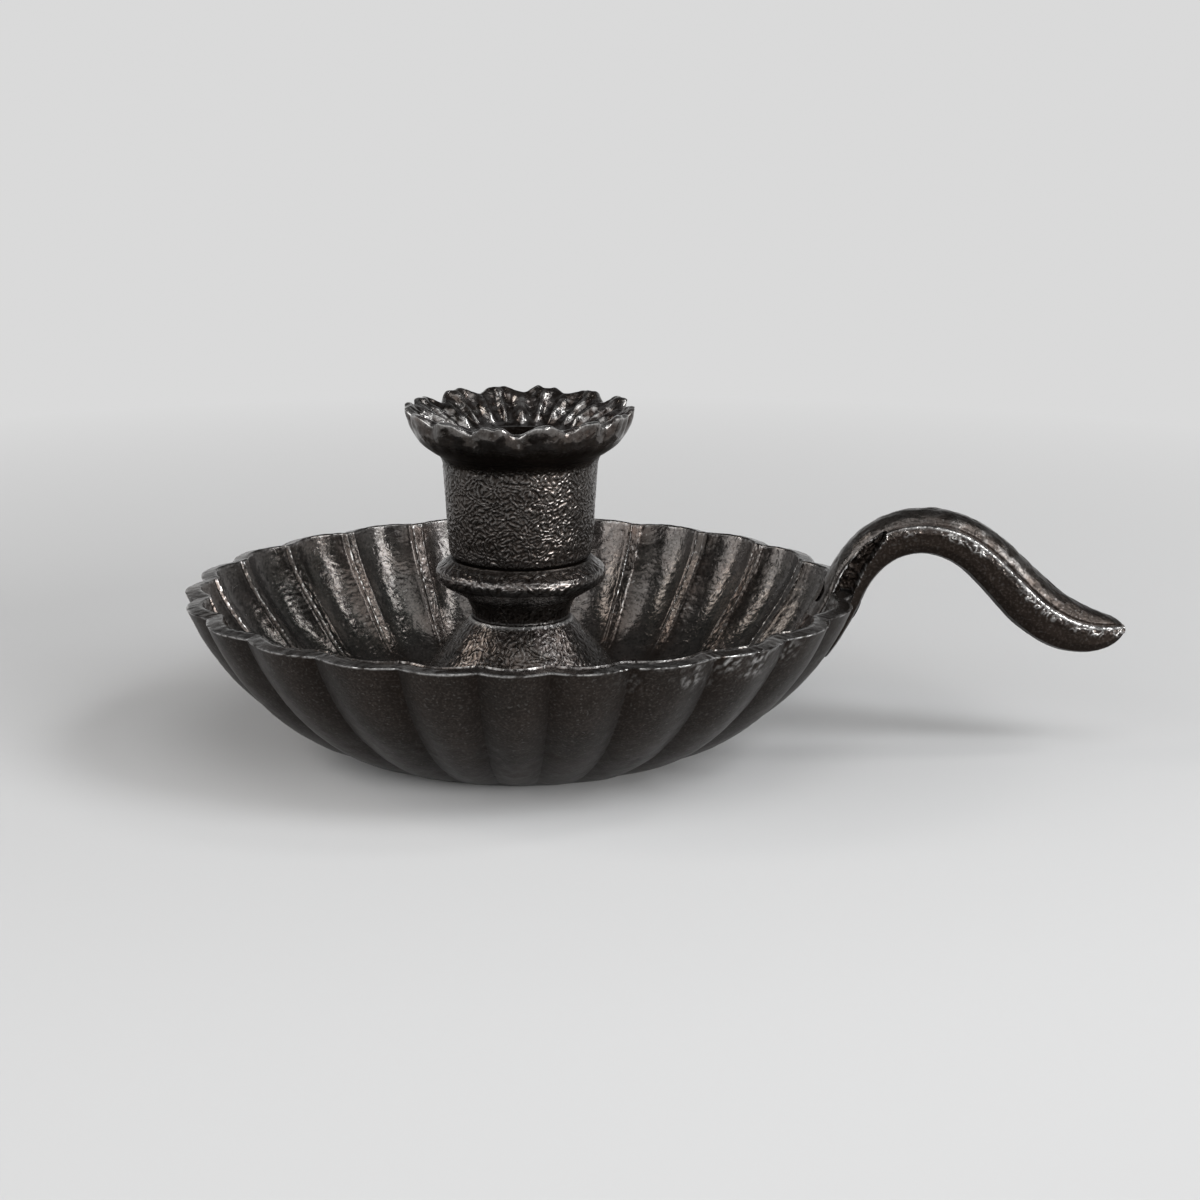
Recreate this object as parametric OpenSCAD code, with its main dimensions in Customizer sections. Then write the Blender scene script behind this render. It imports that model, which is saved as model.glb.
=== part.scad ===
// Chamberstick of cast iron: a fluted dish with a forked handle on its rim, and a candle cup
// with a lift-off petalled drip ring, held on a flared foot by one long screw.
// Origin: middle of the flat base. +Z up, the handle points along +X.

/* [Dish] */
// Diameter over the crests of the flutes at the rim
dish_d = 140; // [126:1:156]
// Height of the rim's outer edge
dish_h = 33.4; // [29:0.2:38]
// Diameter of the flat base
base_d = 62; // [56:1:68]
// Slope of the wall where it leaves the base, in degrees
base_lean = 13; // [6:1:20]
// Thickness of the wall
wall_t = 3; // [2.4:0.1:3.6]
// Thickness of the floor
floor_t = 3.2; // [2.6:0.1:4.4]
// Number of flutes
flutes = 24; // [18:2:28]
// Depth of the creases between the flutes at the rim
flute_depth = 2.3; // [1:0.1:2.8]
// How much higher the rim's inner edge is than its outer edge
rim_rise = 0.9; // [0.3:0.1:1.4]
// Radius of the screw boss in the floor
boss_r = 6.5; // [5:0.1:8]
// Height of the screw boss above the floor
boss_h = 6; // [4:0.2:9]

/* [Foot and knop] */
// Diameter of the foot's skirt
foot_d = 58; // [50:1:60]
// Height of the foot
foot_h = 24.8; // [21:0.2:29]
// Thickness of the skirt's edge
skirt_t = 1.2; // [0.8:0.1:2]
// How far the foot's flank curves in from a straight line
flank_bow = 1; // [0.5:0.1:1.6]
// Radius of the neck where it stands on the foot
neck_r = 10.1; // [9:0.1:11]
// Height of the neck
neck_h = 4.4; // [3.4:0.1:5.6]
// Largest radius of the collar
collar_r = 17.7; // [16.6:0.1:19]
// Radius of the collar's rounded edge
collar_edge_r = 2.2; // [1.6:0.1:2.6]
// Height of the collar
collar_h = 8.2; // [7:0.1:9.6]

/* [Candle cup] */
// Radius of the cup near its bottom
cup_bottom_r = 14.9; // [14.2:0.1:15.6]
// Radius of the cup below its lip
cup_top_r = 16.1; // [15.7:0.1:16.9]
// Height of the cup
cup_h = 22.7; // [20:0.1:27]
// Radius of the flared lip
lip_r = 18.1; // [17.5:0.1:19.5]
// Height of the cove under the lip
lip_cove_h = 2.7; // [1.8:0.1:3.4]
// Diameter of the candle's bore
candle_d = 22.4; // [20:0.1:23.6]
// Height of the candle's floor above the cup's underside
candle_floor_h = 7; // [6:0.1:9]

/* [Drip ring] */
// Largest radius of the petals
ring_r = 24; // [22:0.1:27]
// Height of the petals above the cup
ring_h = 9.2; // [7.6:0.1:11]
// Number of petals
petals = 14; // [10:1:18]
// Depth of the valleys between the petals, at the lip
petal_depth = 1.5; // [0.6:0.1:2]
// How far the lip drops in the valleys between the petals
petal_drop = 1.7; // [0.6:0.1:2.2]
// Thickness of the petals at the lip
ring_t = 1.6; // [1.3:0.1:2]
// Height of the funnel's foot above the cup
funnel_rise = 2.2; // [1.8:0.1:3]
// Height of the ridges inside the funnel
ridge_h = 1.1; // [0.4:0.1:1.5]
// Radial room around the candle in the ring's bore
ring_bore_gap = 0.6; // [0.5:0.1:0.8]
// Length of the spigot that drops into the cup
spigot_h = 4.6; // [3.4:0.1:6]
// Thickness of the spigot's wall
spigot_t = 1.6; // [1.3:0.1:2]

/* [Handle] */
// Reach of the handle beyond the rim
handle_reach = 56; // [48:0.5:66]
// Height of the arch's middle line above the rim
arch_rise = 12.7; // [9:0.1:17]
// Distance of the arch's top from the rim
arch_out = 13.1; // [11:0.1:16]
// Distance of the tip's middle line below the rim
tip_drop = 8.2; // [5:0.1:11]
// Width of the bar
bar_w = 10.4; // [9:0.1:12]
// Depth of the bar at the root
root_t = 8.7; // [8:0.1:9.6]
// Depth of the bar at the top of the arch
arch_t = 9.4; // [8.4:0.1:10.6]
// Greatest depth of the bar, in the palm swell
swell_t = 11.6; // [10:0.1:13]
// Thickness of the strap outside the wall
strap_t = 1.6; // [1.3:0.1:2.2]
// Depth of the hollows in the sides of the root
hollow_depth = 2.4; // [1.2:0.1:3]
// Height of the hollows
hollow_h = 4; // [3:0.1:4.6]

/* [Fixings] */
// Radius of the long screw
screw_r = 2.5; // [2:0.1:3]
// Radius of the screw's head
screw_head_r = 4.6; // [4:0.1:5]
// Height of the screw's head
screw_head_h = 2.2; // [1.6:0.1:2.4]
// Radius of the washer
washer_r = 5.8; // [5.2:0.1:6.2]
// Thickness of the washer
washer_t = 1; // [0.6:0.1:1.2]
// Radius of the rivet
rivet_r = 1.4; // [1.1:0.1:1.7]

/* [Fits] */
// Radial gap around the screw and the rivet
fit_gap = 0.06; // [0.04:0.01:0.1]
// Gap between the handle's fork and the wall
fork_gap = 0.12; // [0.08:0.01:0.2]
// Radial gap around the drip ring's spigot
lift_gap = 0.3; // [0.2:0.05:0.4]

/* [Hidden] */

$fn = 96;
iron = "#2b2523";
worn_iron = "#3a3230";
steel = "#4a4643";

rim_r = dish_d / 2;
base_r = base_d / 2;
candle_r = candle_d / 2;

// Heights of the stack, from the floor of the dish up
foot_z = floor_t;
knop_z = foot_z + foot_h;
cup_z = knop_z + neck_h + collar_h;
ring_z = cup_z + cup_h;
candle_floor_z = cup_z + candle_floor_h;

// Where a flute is sampled, as shares of its width from its crest; 0.5 is the crease
rib_half = 0.06;
flute_samples = [0, 1/6, 1/3, 0.5 - rib_half, 0.5, 0.5 + rib_half, 2/3, 5/6];
// Where the wall is sampled, from the base to the rim
wall_samples = [0, 0.1, 0.2, 0.33, 0.47, 0.61, 0.75, 0.88, 1];
// The hand-cut pattern crowds its flutes a little at the front, by these angles in degrees
crowd_4 = 2.2;
crowd_2 = 1.6;
// Share of the wall's length where the inner ribs begin and where they stand full
rib_from = 0.3;
rib_full = 0.7;

// Where a petal is sampled, as shares of its width from its middle; 0.5 is the valley
petal_samples = [0, 0.1, 0.22, 0.36, 0.5, 0.64, 0.78, 0.9];
ring_samples = [0, 0.2, 0.4, 0.6, 0.8, 1];
petal_notch = 0.3;
ridge_from = 0.2;
minor_ridge = 0.4;
// Slopes at which the cove over the cup and the funnel begin
seat_lean = 30;
funnel_lean = 20;
lip_land = 0.4;
funnel_land = 0.8;

// How far cutting tools run past what they cut
over = 1;

function lerp(a, b, t) = a + (b - a) * t;
function clamp01(v) = min(1, max(0, v));
function smooth(v) = let (s = clamp01(v)) s * s * (3 - 2 * s);
function on_arc(p, q, lean, t) =
    let (chord = norm(q - p), half = atan2(q[1] - p[1], q[0] - p[0]) - lean,
         r = chord / (2 * sin(half)), a = lean + 2 * half * t)
    p + r * [sin(a) - sin(lean), cos(lean) - cos(a)];
function arc_slope(p, q, lean, t) =
    lean + 2 * (atan2(q[1] - p[1], q[0] - p[0]) - lean) * t;
function inward(slope) = [-sin(slope), cos(slope)];
function bezier(p, t) =
    pow(1 - t, 3) * p[0] + 3 * pow(1 - t, 2) * t * p[1] + 3 * (1 - t) * t * t * p[2] + pow(t, 3) * p[3];

// Solid skin over rings of points, which run against the clock as seen along the row of rings
function skin_faces(n, m) = [
    for (i = [0 : n - 2], j = [0 : m - 1])
        let (a = i * m + j, b = i * m + (j + 1) % m)
        each [[a, b, b + m], [a, b + m, a + m]]];

module skin(rings) {
    n = len(rings);
    m = len(rings[0]);
    polyhedron(
        points = [for (ring = rings) each ring],
        faces = concat(skin_faces(n, m),
                       [[for (j = [m - 1 : -1 : 0]) j]],
                       [[for (j = [0 : m - 1]) (n - 1) * m + j]]),
        convexity = 8);
}

// Wall of the dish
function wall_foot() = [base_r, 0];
function wall_top() = [rim_r, dish_h];
function wall_at(t) = on_arc(wall_foot(), wall_top(), base_lean, t);
function wall_slope(t) = arc_slope(wall_foot(), wall_top(), base_lean, t);
// A flute is pressed in square to the wall low down, and level at the rim
function press_way(t) = inward(lerp(wall_slope(t), 90, t * t));
function scallop(a) = 1 - abs(cos(flutes * a / 2));
function rib(a) = min(1, scallop(a) / scallop(360 / flutes * (0.5 - rib_half)));
function crease_depth(t) = flute_depth * (1 - pow(1 - t, 2.2));
function rib_depth(t) = flute_depth * smooth((t - rib_from) / (rib_full - rib_from));
function outer_wall(t, a, gap = 0) =
    wall_at(t) + press_way(t) * crease_depth(t) * scallop(a) - gap * inward(wall_slope(t));
function rim_inner() = wall_top() + [-wall_t / sin(wall_slope(1)), rim_rise];
function inner_line(t) =
    t == 1 ? rim_inner() : wall_at(t) + wall_t * inward(wall_slope(t));
function inner_wall(t, a, gap = 0) =
    let (p = inner_line(t) + press_way(t) * rib_depth(t) * rib(a) + gap * inward(wall_slope(t)))
    [p[0], max(floor_t, p[1])];

function crowd(a) =
    let (front = a + 90)
    -(crowd_4 * sin(4 * front) + crowd_2 * sin(2 * front)) * (1 + cos(front)) / 2;
function turned(p, a) = [p[0] * cos(a), p[0] * sin(a), p[1]];
function flute_angles() = [
    for (i = [0 : flutes - 1], s = flute_samples) -(i + s) * 360 / flutes];

// Metal left under the screw's blind hole, and the hole's room past the screw's end
floor_skin = 1.7;
end_room = 0.5;
screw_end_z = floor_skin + end_room;

module dish_shell() {
    angles = flute_angles();
    top = len(wall_samples) - 1;
    skin(concat(
        [for (t = wall_samples) [for (a = angles) turned(outer_wall(t, a), a + crowd(a))]],
        [for (i = [top : -1 : 0])
            [for (a = angles) turned(inner_wall(wall_samples[i], a), a + crowd(a))]]));
}

module dish() {
    color(iron) difference() {
        union() {
            dish_shell();
            translate([0, 0, floor_t / 2]) cylinder(r = boss_r, h = floor_t / 2 + boss_h);
        }
        translate([0, 0, floor_skin]) cylinder(r = screw_r + fit_gap, h = floor_t + boss_h);
        rivet_shank(rivet_r + fit_gap);
    }
}

// Circle that runs through two points of an outline and hollows it by bow, seen from the axis
function hollow_r(p, q, bow) = (pow(norm(q - p) / 2, 2) + bow * bow) / (2 * bow);
function hollow_centre(p, q, bow) =
    let (d = (q - p) / norm(q - p), r = hollow_r(p, q, bow))
    (p + q) / 2 + (r - bow) * [-d[1], d[0]];

module hollowed(p, q, bow) {
    difference() {
        children();
        translate(hollow_centre(p, q, bow)) circle(r = hollow_r(p, q, bow), $fn = 180);
    }
}

foot_r = foot_d / 2;
neck_step = 0.3;
foot_top_r = neck_r + neck_step;
foot_wall = 3.4;
foot_top_t = 4.6;
foot_land = 5;
foot_mouth_r = foot_r - foot_land;

module foot() {
    color(iron) rotate_extrude() difference() {
        hollowed([foot_top_r, knop_z], [foot_r, foot_z + skirt_t], flank_bow)
            polygon([[screw_r + fit_gap, foot_z], [foot_r, foot_z], [foot_r, foot_z + skirt_t],
                     [foot_top_r, knop_z], [screw_r + fit_gap, knop_z]]);
        polygon([[0, foot_z - over], [foot_mouth_r, foot_z - over], [foot_mouth_r, foot_z],
                 [foot_top_r - foot_wall, knop_z - foot_top_t], [0, knop_z - foot_top_t]]);
    }
}

neck_flare = 1.7;
neck_top_r = neck_r + neck_flare;
neck_bow = 0.35;
collar_z = knop_z + neck_h;
cup_step = 0.3;
collar_top_r = cup_bottom_r - cup_step;
// The collar's edge is a bead, which its slopes leave at these angles
edge_x = collar_r - collar_edge_r;
edge_z = collar_z + collar_h / 2;
edge_low_a = -62;
edge_high_a = 40;
function on_edge(a) = [edge_x, edge_z] + collar_edge_r * [cos(a), sin(a)];

module knop() {
    color(iron) rotate_extrude() difference() {
        hollowed([neck_top_r, collar_z], [neck_r, knop_z], neck_bow) union() {
            polygon([[0, knop_z], [neck_r, knop_z], [neck_top_r, collar_z],
                     on_edge(edge_low_a), on_edge(edge_high_a), [collar_top_r, cup_z], [0, cup_z]]);
            translate([edge_x, edge_z]) circle(r = collar_edge_r);
        }
        translate([0, knop_z - over]) square([screw_r + fit_gap, cup_z - knop_z + 2 * over]);
    }
}

cup_round = 1.8;
cup_neck_z = ring_z - lip_land - lip_cove_h;
cove_out = lip_r - cup_top_r;
cove_r = (cove_out * cove_out + lip_cove_h * lip_cove_h) / (2 * cove_out);
ring_bore_r = candle_r + ring_bore_gap;
spigot_r = ring_bore_r + spigot_t;
seat_r = spigot_r + lift_gap;
// The screw's head and washer sink below the candle's floor
head_sink = 0.2;
head_room = 0.4;
head_z = candle_floor_z - head_sink - screw_head_h;
washer_z = head_z - washer_t;

module candle_cup() {
    color(iron) rotate_extrude() difference() {
        union() {
            polygon([[0, cup_z], [cup_bottom_r - cup_round, cup_z], [cup_bottom_r, cup_z + cup_round],
                     [cup_top_r, cup_neck_z], [lip_r, cup_neck_z], [lip_r, ring_z], [0, ring_z]]);
            translate([cup_bottom_r - cup_round, cup_z + cup_round]) circle(r = cup_round);
        }
        translate([cup_top_r + cove_r, cup_neck_z]) circle(r = cove_r);
        translate([0, cup_z - over]) square([screw_r + fit_gap, cup_h]);
        translate([0, washer_z]) square([washer_r + head_room, cup_h]);
        translate([0, candle_floor_z]) square([candle_r, cup_h]);
        translate([0, ring_z - spigot_h - lift_gap]) square([seat_r, cup_h]);
    }
}

// Drip ring
function ring_foot() = [lip_r, ring_z];
function ring_lip() = [ring_r, ring_z + ring_h];
function petal_wave(a) =
    let (f = a * petals / 360, s = abs(f - round(f)))
    (s < 0.01 ? petal_notch : 0) + 1 - pow(max(0, cos(180 * s)), 0.7);
function petal_grow(t) = pow(t, 1.4);
function petal_shift(t, a) = petal_wave(a) * petal_grow(t) * [petal_depth, petal_drop];
function ring_outer(t, a) = on_arc(ring_foot(), ring_lip(), seat_lean, t) - petal_shift(t, a);

// The funnel inside has a ridge under each valley and a lesser one up the middle of each petal
function funnel_foot() = [ring_bore_r + funnel_land, ring_z + funnel_rise];
function funnel_lip() = ring_lip() + ring_t * [-1, 0.15];
function ridge(a) =
    let (f = a * petals / 360, s = abs(f - round(f)))
    s < 0.01 ? minor_ridge : pow(max(0, (s - ridge_from) / (0.5 - ridge_from)), 1.5);
function ridge_grow(t) = smooth(t / 0.3) * (1 - 0.7 * pow(t, 4));
function ring_inner(t, a) =
    on_arc(funnel_foot(), funnel_lip(), funnel_lean, t) - petal_shift(t, a)
    + ridge_h * ridge(a) * ridge_grow(t)
      * inward(arc_slope(funnel_foot(), funnel_lip(), funnel_lean, t));

module drip_ring() {
    angles = [for (i = [0 : petals - 1], s = petal_samples) -(i + s) * 360 / petals];
    last = len(ring_samples) - 1;
    color(worn_iron) difference() {
        union() {
            skin(concat(
                [for (t = ring_samples) [for (a = angles) turned(ring_outer(t, a), a)]],
                [for (i = [last : -1 : 0])
                    [for (a = angles) turned(ring_inner(ring_samples[i], a), a)]]));
            translate([0, 0, ring_z - spigot_h])
                cylinder(r = spigot_r, h = spigot_h + funnel_rise / 2);
        }
        translate([0, 0, ring_z - spigot_h - over]) cylinder(r = ring_bore_r, h = spigot_h + ring_h);
    }
}

// Handle: the root follows the wall, then three curves carry the bar over the arch to the tip
root_from = 0.72;
root_inset = root_t / 2 - strap_t;
function root_line(t) = wall_at(t) + root_inset * inward(wall_slope(t));
rise_start = root_line(1);
rise_way = [cos(wall_slope(1)), sin(wall_slope(1))];
arch_top = wall_top() + [arch_out, arch_rise];
sway = wall_top() + [handle_reach * 0.616, -tip_drop * 0.12];
sway_way = [cos(-45), sin(-45)];
tip = wall_top() + [handle_reach, -tip_drop];
tip_way = [cos(12), sin(12)];
// Pulls of the curves at their ends
rise_pull = 5;
arch_pull_in = 8.8;
arch_pull_out = 9.9;
sway_pull_in = 9.3;
sway_pull_out = 7.8;
tip_pull = 9.4;
rise_curve = [rise_start, rise_start + rise_pull * rise_way, arch_top - [arch_pull_in, 0], arch_top];
fall_curve = [arch_top, arch_top + [arch_pull_out, 0], sway - sway_pull_in * sway_way, sway];
palm_curve = [sway, sway + sway_pull_out * sway_way, tip - tip_pull * tip_way, tip];
root_steps = 3;
curve_steps = 8;
palm_steps = 12;
// The palm's stations crowd towards the tip, so that its round end is smooth
function palm_share(i) = sin(90 * i / palm_steps);

// A station is [middle point, share along the handle]: 0 at the rim, 1 at the arch, 2 at the sway
function handle_path() = concat(
    [for (i = [0 : root_steps - 1])
        let (t = lerp(root_from, 1, i / root_steps)) [root_line(t), t - 1]],
    [for (i = [0 : curve_steps - 1]) [bezier(rise_curve, i / curve_steps), i / curve_steps]],
    [for (i = [0 : curve_steps - 1]) [bezier(fall_curve, i / curve_steps), 1 + i / curve_steps]],
    [for (i = [0 : palm_steps]) [bezier(palm_curve, palm_share(i)), 2 + palm_share(i)]]);

// The palm is rounded off at the tip, where these shares of its depth and width are left
tip_depth_left = 0.11;
tip_width_left = 0.245;
function bar_t(u) =
    u < 0 ? root_t : u < 1 ? lerp(root_t, arch_t, u) : u < 2 ? lerp(arch_t, swell_t, u - 1)
    : swell_t * max(tip_depth_left, sqrt(1 - pow(u - 2, 3)));
function bar_width(u) = u < 2 ? bar_w : bar_w * max(tip_width_left, sqrt(1 - pow(u - 2, 4)));

// Half of the bar's section from its crowned top to its belly, as shares of its half sizes
half_section = [[0, 1], [0.45, 0.92], [0.74, 0.76], [0.88, 0.55], [1, 0.3], [1, -0.5],
                [0.88, -0.84], [0.5, -0.98], [0, -1]];
bar_section = concat(half_section,
    [for (i = [len(half_section) - 2 : -1 : 1]) [-half_section[i][0], half_section[i][1]]]);

function path_way(path, i) =
    let (a = path[max(0, i - 1)][0], b = path[min(len(path) - 1, i + 1)][0]) (b - a) / norm(b - a);
// A point of a section, across the bar by y and up its normal by n
function swept(p, way, y, n) = [p[0] - way[1] * n, y, p[1] + way[0] * n];

module bar() {
    path = handle_path();
    skin([for (i = [0 : len(path) - 1])
        let (way = path_way(path, i), u = path[i][1])
        [for (s = bar_section) swept(path[i][0], way, s[0] * bar_width(u) / 2, s[1] * bar_t(u) / 2)]]);
}

// The hollow in each side of the root tapers to its upper end
hollow_steps = 8;
hollow_from = -0.02;
hollow_end = 0.66;
hollow_top = 0.53;
module side_hollow(side) {
    path = [for (i = [0 : hollow_steps]) let (u = lerp(hollow_from, hollow_end, i / hollow_steps))
        [u < 0 ? root_line(1 + u) : bezier(rise_curve, u), u]];
    floor_y = bar_w / 2 - hollow_depth;
    skin([for (i = [0 : hollow_steps])
        let (way = path_way(path, i), u = path[i][1], high = hollow_top * bar_t(u) / 2,
             low = high - hollow_h * sqrt(1.02 - pow(max(0, u) / hollow_end, 2)))
        [for (c = [[floor_y, low], [floor_y, high], [bar_w, high], [bar_w, low]])
            swept(path[i][0], way, side * c[0], side < 0 ? low + high - c[1] : c[1])]]);
}

// A sector of the wall, grown by the fork's gap, that opens the fork
module wall_sector() {
    marks = [for (t = wall_samples) if (t > 0.4) t];
    last = len(marks) - 1;
    pitch = 360 / flutes;
    angles = [for (i = [-1, 0], s = flute_samples) if (i < 0 || s < 0.7) (i + s) * pitch];
    skin([for (a = angles) concat(
        [for (t = marks) turned(outer_wall(t, a, fork_gap), a + crowd(a))],
        [turned(wall_top() + [fork_gap, rim_rise / 2], a + crowd(a))],
        [for (i = [last : -1 : 0])
            turned(inner_wall(marks[i], a, fork_gap), a + crowd(a))])]);
}

// Rivet, square to the wall through the fork, with heads countersunk at 45 degrees
rivet_at = 0.93;
rivet_head_t = 0.9;
rivet_head_r = rivet_r + rivet_head_t;
rivet_tilt = 90 - wall_slope(rivet_at);
module on_rivet_axis() {
    p = root_line(rivet_at);
    translate([p[0], 0, p[1]]) rotate([0, 90 + rivet_tilt, 0]) children();
}
module rivet_shank(r) {
    on_rivet_axis() cylinder(r = r, h = root_t, center = true);
}
module rivet_shape(gap) {
    rivet_shank(rivet_r + gap);
    on_rivet_axis() for (side = [0, 1]) mirror([0, 0, side])
        translate([0, 0, root_t / 2 - rivet_head_t])
            cylinder(r1 = rivet_r + gap, r2 = rivet_head_r + gap, h = rivet_head_t + gap);
}

module handle_rivet() {
    color(worn_iron) rivet_shape(0);
}

// The fork's inner leg is shorter than the strap outside the wall
tongue_h = 5;
tongue_room = 0.5;
module handle() {
    color(worn_iron) difference() {
        bar();
        for (side = [-1, 1]) side_hollow(side);
        wall_sector();
        translate([0, -bar_w, 0])
            cube([inner_line(0.8)[0] - tongue_room, 2 * bar_w, dish_h - tongue_h]);
        rivet_shape(fit_gap);
    }
}

slot_w = 1.2;
slot_h = 1.1;
module centre_screw() {
    color(steel) difference() {
        union() {
            translate([0, 0, screw_end_z])
                cylinder(r = screw_r, h = head_z - screw_end_z + screw_head_h / 2);
            translate([0, 0, head_z]) cylinder(r = screw_head_r, h = screw_head_h);
        }
        translate([-screw_head_r - over, -slot_w / 2, head_z + screw_head_h - slot_h])
            cube([2 * (screw_head_r + over), slot_w, slot_h + over]);
    }
}

module screw_washer() {
    color(steel) translate([0, 0, washer_z]) difference() {
        cylinder(r = washer_r, h = washer_t);
        translate([0, 0, -over]) cylinder(r = screw_r + fit_gap, h = washer_t + 2 * over);
    }
}

dish();
foot();
knop();
candle_cup();
drip_ring();
handle();
handle_rivet();
centre_screw();
screw_washer();
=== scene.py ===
"""Looks of the cast-iron chamberstick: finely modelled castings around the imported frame.

Shapes are worked out in millimetres by the construction's own rules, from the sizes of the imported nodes, and
become metres when a mesh is made.
"""

import itertools
import math

import bmesh
import bpy
import numpy as np
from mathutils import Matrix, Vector


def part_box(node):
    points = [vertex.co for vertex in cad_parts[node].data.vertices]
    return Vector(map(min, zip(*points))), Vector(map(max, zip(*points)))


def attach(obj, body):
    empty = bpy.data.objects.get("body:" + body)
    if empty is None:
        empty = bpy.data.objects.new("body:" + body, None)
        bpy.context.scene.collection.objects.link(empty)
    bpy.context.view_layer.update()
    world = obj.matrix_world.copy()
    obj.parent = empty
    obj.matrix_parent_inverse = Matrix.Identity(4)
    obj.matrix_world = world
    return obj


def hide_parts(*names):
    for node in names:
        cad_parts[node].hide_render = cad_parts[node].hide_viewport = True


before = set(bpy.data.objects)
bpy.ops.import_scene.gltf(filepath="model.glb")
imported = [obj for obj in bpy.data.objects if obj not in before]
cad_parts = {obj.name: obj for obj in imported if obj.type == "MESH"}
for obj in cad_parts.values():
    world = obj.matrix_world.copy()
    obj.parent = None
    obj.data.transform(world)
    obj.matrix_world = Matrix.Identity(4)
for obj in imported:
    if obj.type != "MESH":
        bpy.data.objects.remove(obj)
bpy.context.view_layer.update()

MM = 0.001


def node_box(name):
    """Lowest and highest corner of a node, in millimetres."""
    low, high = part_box(name)
    return np.array(low) / MM, np.array(high) / MM


dish_low, dish_high = node_box("dish")
foot_low, foot_high = node_box("foot")
knop_low, knop_high = node_box("knop")
cup_low, cup_high = node_box("candle_cup")
ring_low, ring_high = node_box("drip_ring")
handle_low, handle_high = node_box("handle")
washer_low, washer_high = node_box("screw_washer")

# Dish
RIM_RISE = 0.9
BASE_R = 31.0
BASE_LEAN = 13.0
WALL_T = 3.0
FLUTES = 24
FLUTE_DEPTH = 2.3
BOSS_R = 6.5
BOSS_H = 6.0
FLOOR_SKIN = 1.7
RIB_HALF = 0.06
RIB_FROM = 0.3
RIB_FULL = 0.7
CROWD_4 = 2.2
CROWD_2 = 1.6
rim_r = dish_high[0]
dish_h = dish_high[2] - RIM_RISE
floor_t = foot_low[2]
pitch = 360 / FLUTES

# Stem
NECK_R = 10.1
NECK_STEP = 0.3
NECK_FLARE = 1.7
NECK_H = 4.4
NECK_BOW = 0.35
FLANK_BOW = -0.5
SKIRT_T = 1.2
FOOT_LAND = 5.0
FOOT_TOP_T = 4.6
FOOT_WALL = 3.4
COLLAR_EDGE_R = 2.2
COLLAR_LIFT = 0.7
EDGE_LOW = -62.0
EDGE_HIGH = 40.0
CUP_BOTTOM_R = 14.9
CUP_STEP = 0.3
CUP_TOP_R = 16.1
CUP_ROUND = 1.8
LIP_COVE_H = 2.7
LIP_LAND = 0.4
CANDLE_R = 11.2
CANDLE_FLOOR_H = 7.0
HEAD_ROOM = 0.4
SCREW_HOLE_R = 2.56
foot_z = foot_low[2]
knop_z = knop_low[2]
cup_z = cup_low[2]
ring_z = cup_high[2]
foot_r = foot_high[0]
collar_r = knop_high[0]
lip_r = cup_high[0]
candle_floor_z = cup_z + CANDLE_FLOOR_H

# Drip ring
RING_R = 24.0
RING_H = 9.2
LIP_T = 0.9
PETALS = 14
PETAL_DEPTH = 1.5
PETAL_DROP = 1.7
FUNNEL_RISE = 2.2
FUNNEL_LAND = 0.8
RIDGE_H = 1.9
RING_BORE_R = 11.8
SPIGOT_T = 1.6
SEAT_LEAN = 30.0
FUNNEL_LEAN = 20.0
LIFT_GAP = 0.3
spigot_z = ring_low[2]

# Handle
ARCH_RISE = 12.7
ARCH_OUT = 13.1
TIP_DROP = 8.2
BAR_W = 10.4
ROOT_T = 8.7
ARCH_T = 9.4
SWELL_T = 11.6
STRAP_T = 1.6
HOLLOW_DEPTH = 2.4
HOLLOW_H = 3.8
HOLLOW_END = 0.71
HOLLOW_TOP = 0.53
ROOT_FROM = 0.72
FORK_GAP = 0.12
TONGUE_H = 5.0
TONGUE_ROOM = 0.5
handle_reach = handle_high[0] - rim_r

# View
VIEW_D = 760.0
VIEW_ELEVATION = 13.753
VIEW_TARGET = (16.46, 0.0, 31.09)
VIEW_WIDTH = 250.05
SENSOR_W = 36.0


def sin_d(a):
    return np.sin(np.radians(a))


def cos_d(a):
    return np.cos(np.radians(a))


def lerp(a, b, t):
    return a + (b - a) * t


def smooth(v):
    s = np.clip(v, 0, 1)
    return s * s * (3 - 2 * s)


def bell(v, width):
    return np.exp(-((v / width) ** 2))


# Repeatable noise on points in millimetres

GRADIENTS = np.array(
    [g for g in itertools.product((-1.0, 0.0, 1.0), repeat=3) if sum(map(abs, g)) == 2]
)


def hashed(cell, seed):
    """A repeatable whole number for each lattice cell."""
    c = cell.astype(np.int64).astype(np.uint32)
    h = c[:, 0] * np.uint32(374761393) + c[:, 1] * np.uint32(668265263)
    h = h + c[:, 2] * np.uint32(2246822519) + np.uint32(seed * 7919 + 13)
    h = (h ^ (h >> np.uint32(13))) * np.uint32(1274126177)
    h = (h ^ (h >> np.uint32(16))) * np.uint32(2654435761)
    return h ^ (h >> np.uint32(15))


def noise(points, size, seed=0):
    """Gradient noise, about -1 to 1, whose cells have that size, on an array of points of any shape."""
    q = (points / size).reshape(-1, 3)
    base = np.floor(q)
    f = q - base
    w = f * f * f * (f * (f * 6 - 15) + 10)
    total = np.zeros(len(q))
    for corner in itertools.product((0, 1), repeat=3):
        c = np.array(corner)
        g = GRADIENTS[hashed(base + c, seed) % len(GRADIENTS)]
        total += ((f - c) * g).sum(1) * np.where(c, w, 1 - w).prod(1)
    return total.reshape(points.shape[:-1])


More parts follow.
